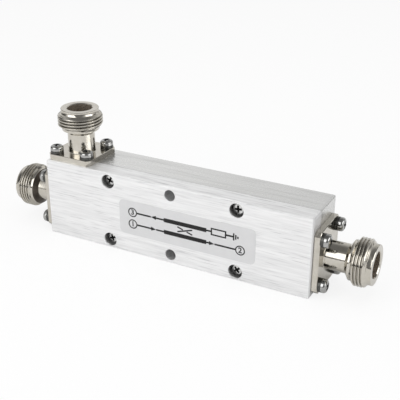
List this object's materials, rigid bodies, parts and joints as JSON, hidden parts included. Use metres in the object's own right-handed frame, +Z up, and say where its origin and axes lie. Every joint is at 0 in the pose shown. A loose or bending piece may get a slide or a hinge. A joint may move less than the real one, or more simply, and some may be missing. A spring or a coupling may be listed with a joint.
{
  "type": "directional coupler",
  "caption": "Rectangular milled aluminium block with threaded coaxial jacks on both ends and one on top, coupling a share of the signal between two inner bars.",
  "frame": {"origin": "on the base, under the middle of the block", "axes": "+X along the block from the input jack to the output jack, +Y from the front cover to the back, +Z up towards the coupled jack"},
  "size_m": [0.1356, 0.0199, 0.0462],
  "materials": {
    "aluminium_block": "milled and brushed along its length",
    "nickel_plate": "bright nickel plate",
    "screw_steel": "plain steel",
    "washer_steel": "dark spring steel",
    "label_film": "satin printed film",
    "ptfe": "white, waxy",
    "contact_plate": "gold plate",
    "line_plate": "silver plate",
    "load_copper": "plain copper",
    "ceramic": "white ceramic"
  },
  "bodies": {
    "root": {"housing": "aluminium_block", "cover": "aluminium_block", "cover_screws": "screw_steel", "label": "label_film", "input_shell": "nickel_plate", "input_insulator": "ptfe", "input_contact": "contact_plate", "input_screws": "screw_steel", "input_spring_washers": "washer_steel", "output_shell": "nickel_plate", "output_insulator": "ptfe", "output_contact": "contact_plate", "output_screws": "screw_steel", "output_spring_washers": "washer_steel", "coupled_shell": "nickel_plate", "coupled_insulator": "ptfe", "coupled_contact": "contact_plate", "coupled_screws": "screw_steel", "coupled_spring_washers": "washer_steel", "main_line": "line_plate", "coupled_line": "line_plate", "input_side_support": "ptfe", "output_side_support": "ptfe", "load_flange": "load_copper", "load_chip": "ceramic", "load_lid": "ceramic", "load_tab": "line_plate", "load_screws": "screw_steel"}
  },
  "joints": []
}
